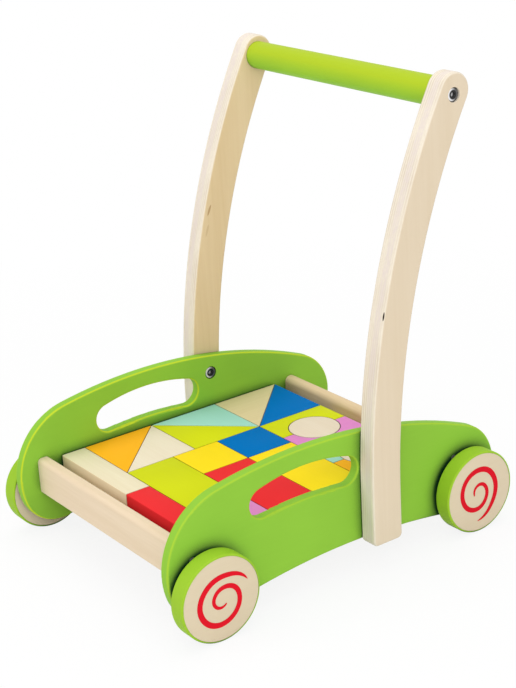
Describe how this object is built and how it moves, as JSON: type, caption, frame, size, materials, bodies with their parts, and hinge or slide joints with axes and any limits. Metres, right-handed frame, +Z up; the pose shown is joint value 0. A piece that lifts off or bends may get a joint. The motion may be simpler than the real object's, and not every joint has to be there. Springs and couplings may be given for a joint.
{
  "type": "baby push walker",
  "caption": "Wooden push walker for a toddler: green side panels with hand slots, wheels, curved arms with a round handle bar, and a tray of coloured building blocks.",
  "frame": {"origin": "on the floor, midway between the axles and between the side panels", "axes": "+Z up, -Y is the way the walker is pushed, +X is its right side seen from the front"},
  "size_m": [0.359, 0.4424, 0.5161],
  "materials": {
    "panel_green": "green satin paint on solid wood",
    "bar_green": "light green satin paint on a turned wooden bar",
    "plain_wood": "clear matt lacquer on pale solid wood",
    "plywood": "clear matt lacquer on pale plywood with bare edges",
    "steel": "bright zinc plated steel",
    "nylon": "plain white nylon",
    "band_green": "smooth green tread",
    "natural": "clear matt lacquer on pale wood",
    "cream": "cream satin paint on wood",
    "red": "red satin paint on wood",
    "orange": "orange satin paint on wood",
    "lime": "lime satin paint on wood",
    "mint": "mint satin paint on wood",
    "blue": "blue satin paint on wood",
    "yellow": "yellow satin paint on wood",
    "pink": "pink satin paint on wood"
  },
  "bodies": {
    "frame": {"left_side_panel": "panel_green", "right_side_panel": "panel_green", "front_board": "plain_wood", "rear_board": "plain_wood", "tray_floor": "plywood", "left_push_arm": "plywood", "right_push_arm": "plywood", "handle_bar": "bar_green", "handle_bolts": "steel", "handle_inserts": "steel", "arm_bolts": "steel", "arm_inserts": "steel", "board_screws": "steel", "axle_bushes": "nylon"},
    "front_wheelset": {"front_axle": "steel", "front_washers": "steel", "front_left_wheel": "plain_wood", "front_right_wheel": "plain_wood", "front_left_band": "band_green", "front_right_band": "band_green"},
    "rear_wheelset": {"rear_axle": "steel", "rear_washers": "steel", "rear_left_wheel": "plain_wood", "rear_right_wheel": "plain_wood", "rear_left_band": "band_green", "rear_right_band": "band_green"},
    "natural_beam": {"natural_beam": "natural"},
    "red_beam": {"red_beam": "red"},
    "orange_triangle": {"orange_triangle": "orange"},
    "natural_triangle": {"natural_triangle": "natural"},
    "mint_triangle": {"mint_triangle": "mint"},
    "lime_triangle": {"lime_triangle": "lime"},
    "cream_triangle": {"cream_triangle": "cream"},
    "blue_triangle": {"blue_triangle": "blue"},
    "lime_slab": {"lime_slab": "lime"},
    "pink_square": {"pink_square": "pink"},
    "yellow_square": {"yellow_square": "yellow"},
    "red_slab": {"red_slab": "red"},
    "blue_square": {"blue_square": "blue"},
    "yellow_slab": {"yellow_slab": "yellow"},
    "lime_arch": {"lime_arch": "lime"},
    "pink_arch": {"pink_arch": "pink"},
    "left_drum": {"left_drum": "plain_wood"},
    "mint_arch": {"mint_arch": "mint"},
    "orange_arch": {"orange_arch": "orange"},
    "right_drum": {"right_drum": "plain_wood"}
  },
  "joints": [
    {"name": "front_roll", "type": "hinge", "parent": "frame", "child": "front_wheelset", "pos_m": [0, -0.174, 0.04725], "axis": [1, 0, 0], "continuous": true},
    {"name": "rear_roll", "type": "hinge", "parent": "frame", "child": "rear_wheelset", "pos_m": [0, 0.174, 0.04725], "axis": [1, 0, 0], "continuous": true},
    {"name": "natural_beam_lift", "type": "slide", "parent": "frame", "child": "natural_beam", "axis": [0, 0, 1], "range_m": [0, 0.11]},
    {"name": "red_beam_lift", "type": "slide", "parent": "frame", "child": "red_beam", "axis": [0, 0, 1], "range_m": [0, 0.11]},
    {"name": "orange_triangle_lift", "type": "slide", "parent": "frame", "child": "orange_triangle", "axis": [0, 0, 1], "range_m": [0, 0.11]},
    {"name": "natural_triangle_lift", "type": "slide", "parent": "frame", "child": "natural_triangle", "axis": [0, 0, 1], "range_m": [0, 0.11]},
    {"name": "mint_triangle_lift", "type": "slide", "parent": "frame", "child": "mint_triangle", "axis": [0, 0, 1], "range_m": [0, 0.11]},
    {"name": "lime_triangle_lift", "type": "slide", "parent": "frame", "child": "lime_triangle", "axis": [0, 0, 1], "range_m": [0, 0.11]},
    {"name": "cream_triangle_lift", "type": "slide", "parent": "frame", "child": "cream_triangle", "axis": [0, 0, 1], "range_m": [0, 0.11]},
    {"name": "blue_triangle_lift", "type": "slide", "parent": "frame", "child": "blue_triangle", "axis": [0, 0, 1], "range_m": [0, 0.11]},
    {"name": "lime_slab_lift", "type": "slide", "parent": "frame", "child": "lime_slab", "axis": [0, 0, 1], "range_m": [0, 0.11]},
    {"name": "pink_square_lift", "type": "slide", "parent": "frame", "child": "pink_square", "axis": [0, 0, 1], "range_m": [0, 0.11]},
    {"name": "yellow_square_lift", "type": "slide", "parent": "frame", "child": "yellow_square", "axis": [0, 0, 1], "range_m": [0, 0.11]},
    {"name": "red_slab_lift", "type": "slide", "parent": "frame", "child": "red_slab", "axis": [0, 0, 1], "range_m": [0, 0.11]},
    {"name": "blue_square_lift", "type": "slide", "parent": "frame", "child": "blue_square", "axis": [0, 0, 1], "range_m": [0, 0.11]},
    {"name": "yellow_slab_lift", "type": "slide", "parent": "frame", "child": "yellow_slab", "axis": [0, 0, 1], "range_m": [0, 0.11]},
    {"name": "lime_arch_lift", "type": "slide", "parent": "frame", "child": "lime_arch", "axis": [0, 0, 1], "range_m": [0, 0.11]},
    {"name": "pink_arch_lift", "type": "slide", "parent": "frame", "child": "pink_arch", "axis": [0, 0, 1], "range_m": [0, 0.11]},
    {"name": "left_drum_lift", "type": "slide", "parent": "frame", "child": "left_drum", "axis": [0, 0, 1], "range_m": [0, 0.11]},
    {"name": "mint_arch_lift", "type": "slide", "parent": "frame", "child": "mint_arch", "axis": [0, 0, 1], "range_m": [0, 0.11]},
    {"name": "orange_arch_lift", "type": "slide", "parent": "frame", "child": "orange_arch", "axis": [0, 0, 1], "range_m": [0, 0.11]},
    {"name": "right_drum_lift", "type": "slide", "parent": "frame", "child": "right_drum", "axis": [0, 0, 1], "range_m": [0, 0.11]}
  ]
}
